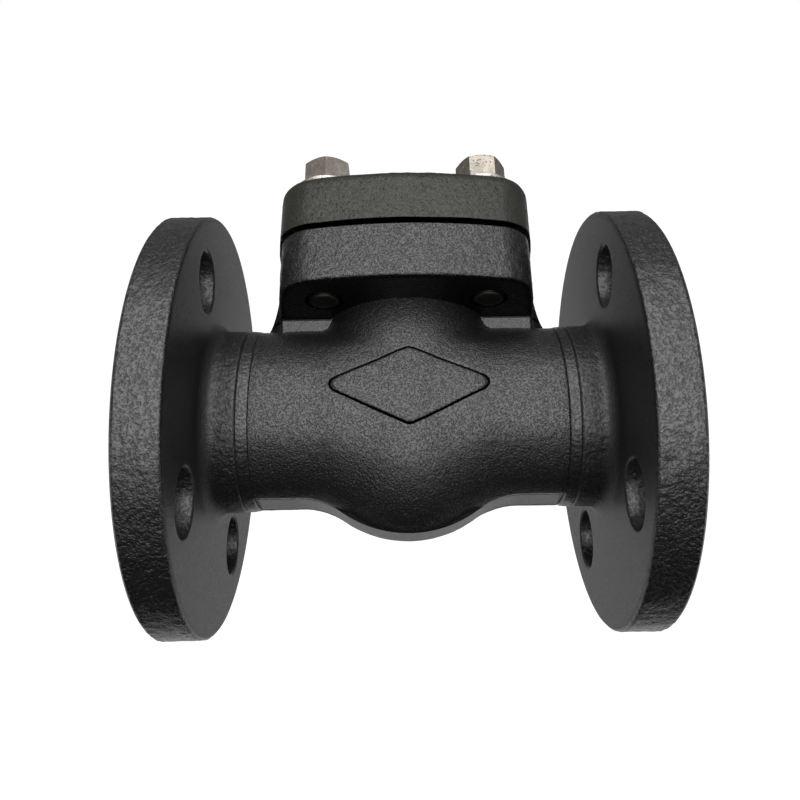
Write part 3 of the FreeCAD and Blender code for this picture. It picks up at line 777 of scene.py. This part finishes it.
def makeCover(look):
    def roughen(points):
        size, level, depth = look["pits"]
        pits = softStep(latticeNoise(points, size, look["pitSeed"]), level, level + look["pitEdge"])
        side = softStep(points[:, 2], look["bottom"] - look["sideRise"], look["bottom"] + look["sideRise"])
        return (forgedNoise(points, look["marks"], look["seed"]) - depth * pits) * side

    profile = plateProfile(square, look["bottom"], look["top"], look["bottomRound"], look["topRound"])
    piece = makePlate("coverPlate", "cover_black", square, look["half"], profile, roughen)
    low, high = look["bottom"] - overcut, look["top"] + overcut
    spigot = [(look["spigotRadius"], look["spigotBottom"]), (look["spigotRadius"], look["spigotTop"])]
    hole = [(look["holeRadius"], low), (look["holeRadius"], high)]
    tools = [turnedTool("hole", hole, "Z", (x, y, 0.0), steps=64) for x, y in boltPlaces(square)]
    tools.append(turnedTool("cavity", [(look["cavityRadius"], look["cavityBottom"]),
                                       (look["cavityRadius"], look["cavityTop"]),
                                       (look["pocketRadius"], look["cavityTop"]),
                                       (look["pocketRadius"], look["pocketTop"])], "Z", steps=128))
    cut(piece, tools, [turnedTool("spigot", spigot, "Z", steps=160)])
    return piece


boltTip = {"end": 24.7, "threads": 3, "pitch": 0.8, "crest": 3.95, "root": 3.35, "top": 28.0,
           "noseInset": 0.6, "noseRise": 0.1, "crestFrom": 0.4, "crestTo": 0.6}


def makeBoltTip(number, look, at):  # threaded end of a cover bolt, just proud of the bolting flange's underside
    outline = [(look["root"] - look["noseInset"], look["end"]), (look["root"], look["end"] + look["noseRise"])]
    for turn in range(look["threads"]):
        low = look["end"] + look["noseRise"] + turn * look["pitch"]
        outline += [(look["crest"], low + look["crestFrom"] * look["pitch"]),
                    (look["crest"], low + look["crestTo"] * look["pitch"]),
                    (look["root"], low + look["pitch"])]
    tip = turnedTool("boltTip" + str(number), outline + [(look["root"], look["top"])], "Z", at, steps=64)
    tip.data.materials.append(paints["bolt_steel"])
    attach(tip, "valve_body")


for number, (x, y) in enumerate(boltPlaces(square)):
    makeBoltTip(number, boltTip, (x, y, 0.0))
boltingFlange = makeBodyPlate(bodyPlate)
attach(boltingFlange, "valve_body")
cover = makeCover(coverPlate)
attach(cover, "valve_body")
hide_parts("body")
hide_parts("cover")
print("bolting flange and cover made")


# Pipe flanges with forged rims and turned faces, and the welds that join them to the body
weldBead = {
    "middle": 41.0, "half": 1.55, "height": 0.06, "grooveDepth": 0.30, "grooveFrom": (0.84, 0.96),
    "ripple": 0.03, "ripples": 110.0, "rippleBend": 5.0, "bodyRadius": 23.9, "rootEnd": 40.2,
    "skin": (22.5, 23.7), "marks": ((2.0, 0.06), (0.9, 0.04)),
    "step": 0.15, "sideStep": 1.5, "rootStep": 0.8, "around": 480,
}


def spread(start, end, step):  # points of a straight stretch of an outline, without its last
    steps = max(int(math.dist(start, end) / step), 1)
    return [tuple(np.array(start) + (np.array(end) - np.array(start)) * n / steps) for n in range(steps)]


def roundPoints(x, radius, turn):  # points about the pipe axis
    return np.stack([x, radius * np.cos(turn), radius * np.sin(turn)], axis=-1).reshape(-1, 3)


def closedTurning(name, slot, outline, around, shape, flip):  # a closed outline turned about the pipe axis
    radii, along = np.array(outline).T
    turns = np.linspace(0.0, 2.0 * math.pi, around, endpoint=False)
    radius = np.repeat(radii[:, None], around, axis=1)
    x = np.repeat(along[:, None], around, axis=1)
    turn = np.repeat(turns[None, :], len(radii), axis=0)
    radius, x = shape(radius, x, turn)
    points = roundPoints(x * flip, radius, turn)
    rows = len(radii)
    faces = gridFaces(rows, around)
    last = (rows - 1) * around
    for column in range(around):
        after = (column + 1) % around
        faces.append([last + column, last + after, after, column])
    return makePiece(name, points, faces, slot)


def flangeOutline(look):
    rim, edge, back, hub, fillet = look["rim"], look["edge"], -look["back"], look["hub"], look["fillet"]
    face, plate = -look["face"], -look["plate"]
    fine, wide = look["step"], 3.0 * look["step"]
    outline = spread((look["bore"], face), (look["raised"], face), look["faceStep"])
    outline += spread((look["raised"], face), (look["raised"], plate), look["raisedStep"])
    outline += spread((look["raised"], plate), (rim - edge, plate), wide)
    outline += spread((rim - edge, plate), (rim, plate + edge), fine)
    outline += spread((rim, plate + edge), (rim, back - edge), fine)
    outline += spread((rim, back - edge), (rim - edge, back), fine)
    outline += spread((rim - edge, back), (hub + fillet, back), wide)
    for turn in np.linspace(0.0, math.pi / 2.0, look["filletSteps"])[:-1]:
        outline.append((hub + fillet * (1.0 - math.sin(turn)), back + fillet * (1.0 - math.cos(turn))))
    outline += spread((hub, back + fillet), (hub, -look["capX"]), fine * 1.5)
    outline += spread((hub, -look["capX"]), (look["bore"], -look["rootX"]), wide)
    outline += spread((look["bore"], -look["rootX"]), (look["bore"], face), look["boreStep"])
    return outline


def makePipeFlange(name, look, flip, seed):
    def shape(radius, x, turn):
        marks = forgedNoise(roundPoints(x, radius, turn), look["marks"], seed).reshape(radius.shape)
        low, high = look["rimFade"]
        onRim = softStep(radius, look["rim"] - look["edge"] - low, look["rim"] - high)
        onHub = softStep(x, *[along - look["back"] for along in look["hubFade"]])
        onHub = onHub * softStep(radius, *look["hubRise"])
        onHub = onHub * softStep(-x, look["capX"], look["capX"] + look["capFade"])
        pitch, depth = look["grooves"]
        onFace = softStep(-x, *[look["face"] - inward for inward in look["grooveDepth"]])
        onFace = onFace * softStep(radius, *look["grooveInner"])
        onFace = onFace * softStep(-radius, *[inset - look["raised"] for inset in look["grooveOuter"]])
        groove = depth * (1.0 - np.cos(2.0 * math.pi * radius / pitch)) * onFace
        return radius + marks * (onRim + look["hubMarks"] * onHub), x + groove

    piece = closedTurning(name, "flange_black", flangeOutline(look), look["around"], shape, flip)
    start, end, hole, edge = -look["plate"], -look["back"], look["boltRadius"], look["boltEdge"]
    bar = [(hole + edge, start - overcut), (hole + edge, start), (hole, start + edge), (hole, end - edge),
           (hole + edge, end), (hole + edge, end + overcut)]
    tools = []
    for number in range(4):
        turn = math.radians(45.0 + 90.0 * number)
        at = (0.0, look["boltCircle"] * math.cos(turn), look["boltCircle"] * math.sin(turn))
        tools.append(turnedTool("boltHole", [(r, x * flip) for r, x in bar], "X", at))
    cut(piece, tools)
    return piece


def makeWeld(name, look, body, flip, seed, innerLine):
    middle, half = -look["middle"], look["half"]
    corners = [(body["bore"], -body["rootX"]), (body["hub"], middle - half),
               (look["bodyRadius"], middle + half), (body["bore"], -look["rootEnd"])]
    steps = (look["sideStep"], look["step"], look["sideStep"], look["rootStep"])
    outline = []
    for start, end, step in zip(corners, corners[1:] + corners[:1], steps):
        outline += spread(start, end, step)

    def shape(radius, x, turn):
        across = (x - middle) / half
        outside = softStep(radius, *look["skin"])
        bead = look["height"] * (1.0 - across ** 2)
        edges = softStep(-across, *look["grooveFrom"]) + innerLine * softStep(across, *look["grooveFrom"])
        wave = np.cos(look["ripples"] * turn + look["rippleBend"] * across ** 2) * (1.0 - across ** 2)
        marks = forgedNoise(roundPoints(x, radius, turn), look["marks"], seed).reshape(radius.shape)
        return radius + outside * (bead - look["grooveDepth"] * edges + look["ripple"] * wave + marks), x

    return closedTurning(name, "weld_black", outline, look["around"], shape, flip)


for side, flip, seed, innerLine in (("inlet", 1.0, 91, 0.0), ("outlet", -1.0, 131, 1.0)):
    flange = makePipeFlange(side + "PipeFlange", pipeFlange, flip, seed)
    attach(flange, "valve_body")
    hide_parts(side + "_flange")
    weld = makeWeld(side + "WeldBead", weldBead, pipeFlange, flip, seed + 9, innerLine)
    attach(weld, "valve_body")
    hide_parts(side + "_weld")
print("flanges and welds made")


# Closing spring, coiled between the piston and the cover's pocket
spring = {"wire": 0.45, "radius": 6.5, "low": 10.47, "high": 47.63, "turns": 10.5, "closed": 0.9,
          "endRise": 2.2, "steps": 900, "sides": 14, "pocket": 48.1, "seat": 10.02, "lift": 7.0}


def makeSpring(look):
    steps, sides, endRise = look["steps"], look["sides"], look["endRise"] * look["wire"]
    share = np.linspace(0.0, 1.0, steps)
    ends = look["closed"] / look["turns"]
    flatten = np.clip((share - ends) / (1.0 - 2.0 * ends), 0.0, 1.0)
    lift = endRise * (np.minimum(share, ends) / ends + np.maximum(share - 1.0 + ends, 0.0) / ends)
    span = look["high"] - look["low"] - 2.0 * endRise
    z = look["low"] + lift + span * flatten
    turn = 2.0 * math.pi * look["turns"] * share
    path = np.stack([look["radius"] * np.cos(turn), look["radius"] * np.sin(turn), z], axis=1)
    tangent = np.gradient(path, axis=0)
    tangent /= np.linalg.norm(tangent, axis=1)[:, None]
    out = np.stack([np.cos(turn), np.sin(turn), np.zeros(steps)], axis=1)
    up = np.cross(tangent, out)
    around = np.linspace(0.0, 2.0 * math.pi, sides, endpoint=False)
    rings = path[:, None, :] + look["wire"] * (np.cos(around)[None, :, None] * out[:, None, :]
                                               + np.sin(around)[None, :, None] * up[:, None, :])
    points = np.concatenate([rings.reshape(-1, 3), path[:1], path[-1:]])
    return makePiece("closingSpring", points, closedFaces(steps, sides), "spring_steel")


coil = makeSpring(spring)
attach(coil, "valve_body")
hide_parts("piston_spring")
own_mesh(coil)
print("spring made")


# Studio: white backdrop, a floor well below the valve that is pale to the camera and near black to other rays
# as painted shade, one large soft lamp in front
studio = {
    "floorDepth": 0.62, "floorHalf": 3.0, "floorColour": 0.5, "floorShadeColour": 0.04,
    "backdropX": (-2.0, 2.2), "backdropY": 1.4, "backdropTop": 1.2,
    "frontLamp": 8.8, "lampSize": (0.85, 1.32),
    "lampPlace": (0.0635, -0.62, 0.06), "lampAim": (0.0635, 0.0, 0.0),
    "skyAbove": 0.15, "skyBelow": 0.03, "skyFrom": (-0.3, 0.7), "glossWhite": 0.66, "glossHigh": 0.75,
    "glossBehind": (0.0, 0.35), "glossAbove": (0.1, 0.5),
    "seenNear": 0.62, "seenReach": (0.78, 1.08), "glossShadowReach": (1.1, 1.42),
}


def makeLamp(name, look):
    data = bpy.data.lights.new(name, "AREA")
    data.shape = "RECTANGLE"
    data.size, data.size_y = look["lampSize"]
    data.energy = look["frontLamp"]
    made = bpy.data.objects.new(name, data)
    bpy.context.scene.collection.objects.link(made)
    made.location = look["lampPlace"]
    toValve = Vector(look["lampAim"]) - made.location
    made.rotation_euler = toValve.to_track_quat("-Z", "Y").to_euler()


def seenRays(signal):  # rays from the camera, and rays off gloss or through glass
    rays = signal.node("ShaderNodeLightPath", {}, {}).socket.node.outputs
    camera, glossy, through = [Signal(signal.tree, rays["Is %s Ray" % kind])
                               for kind in ("Camera", "Glossy", "Transmission")]
    return camera, glossy.most(through)


def makeSheet(name, corners, material):
    mesh = bpy.data.meshes.new(name)
    mesh.from_pydata(corners, [], [(0, 1, 2, 3)])
    sheet = bpy.data.objects.new(name, mesh)
    bpy.context.scene.collection.objects.link(sheet)
    mesh.materials.append(material)


def makeStudio(look):
    world = bpy.data.worlds.new("studioWorld")
    world.use_nodes = True
    world.node_tree.nodes.clear()
    s = Signal(world.node_tree)
    camera, gloss = seenRays(s)
    direction = s.node("ShaderNodeTexCoord", {}, {}, "Generated")
    outputs = s.node("ShaderNodeSeparateXYZ", {}, {"Vector": direction}).socket.node.outputs
    depth, height = Signal(s.tree, outputs["Y"]), Signal(s.tree, outputs["Z"])
    sky = look["skyBelow"] + (look["skyAbove"] - look["skyBelow"]) * between(s, height, *look["skyFrom"])
    behind = look["glossWhite"] * between(s, depth, *look["glossBehind"])
    behind = behind * (1.0 - look["glossHigh"] * between(s, height, *look["glossAbove"]))
    level = sky.most(gloss * behind).most(camera)
    background = s.node("ShaderNodeBackground", {}, {"Color": grey(1.0), "Strength": level})
    s.node("ShaderNodeOutputWorld", {}, {"Surface": background})
    bpy.context.scene.world = world

    low, half = -look["floorDepth"], look["floorHalf"]
    (left, right), back, top = look["backdropX"], look["backdropY"], look["backdropTop"]
    sheets = {
        "floor": [(-half, -half, low), (half, -half, low), (half, half, low), (-half, half, low)],
        "backdrop": [(left, back, low), (right, back, low), (right, back, top), (left, back, top)],
    }
    for name, corners in sheets.items():
        material, s, where = startMaterial(name + "White")
        camera, gloss = seenRays(s)
        far = s.node("ShaderNodeVectorMath", {"operation": "LENGTH"}, {0: where}, "Value")
        seen = camera * (look["seenNear"] + (1.0 - look["seenNear"]) * between(s, far, *look["seenReach"]))
        # Painted shadow: rays off gloss see the sheets glow white only far from the valve, and for every ray
        # but the camera's the sheets' colour is near black.
        strength = seen + gloss * look["glossWhite"] * between(s, far, *look["glossShadowReach"])
        paleToCameraOnly = mixColour(s, camera, look["floorShadeColour"], look["floorColour"])
        diffuse = s.node("ShaderNodeBsdfDiffuse", {}, {"Color": paleToCameraOnly})
        glow = s.node("ShaderNodeEmission", {}, {"Color": grey(1.0), "Strength": strength})
        both = s.node("ShaderNodeAddShader", {}, {0: diffuse, 1: glow})
        s.node("ShaderNodeOutputMaterial", {}, {"Surface": both})
        makeSheet(name, corners, material)
    makeLamp("frontLamp", look)


makeStudio(studio)


# Camera where the photograph was taken from: below the pipe axis, close, looking up
view = {
    "place": (0.062265, -0.213694, -0.070034), "yaw": -0.76, "pitch": 26.07, "roll": -1.25,
    "focalPixels": 816.51, "axisPixel": (411.56, 304.26), "frame": 800.0, "sensor": 36.0, "nearest": 0.005,
}


def makeCamera(look):
    data = bpy.data.cameras.new("camera")
    data.sensor_width = look["sensor"]
    data.lens = look["sensor"] * look["focalPixels"] / look["frame"]
    data.shift_x = (look["frame"] / 2.0 - look["axisPixel"][0]) / look["frame"]
    data.shift_y = (look["axisPixel"][1] - look["frame"] / 2.0) / look["frame"]
    data.clip_start = look["nearest"]
    camera = bpy.data.objects.new("camera", data)
    bpy.context.scene.collection.objects.link(camera)
    turn = Matrix.Rotation(math.radians(look["yaw"]), 4, "Z")
    lift = Matrix.Rotation(math.radians(90.0 + look["pitch"]), 4, "X")
    lean = Matrix.Rotation(math.radians(look["roll"]), 4, "Z")
    camera.matrix_world = Matrix.Translation(look["place"]) @ turn @ lift @ lean
    bpy.context.scene.camera = camera


makeCamera(view)
bpy.context.scene.view_settings.view_transform = "Standard"
print("studio and camera set")
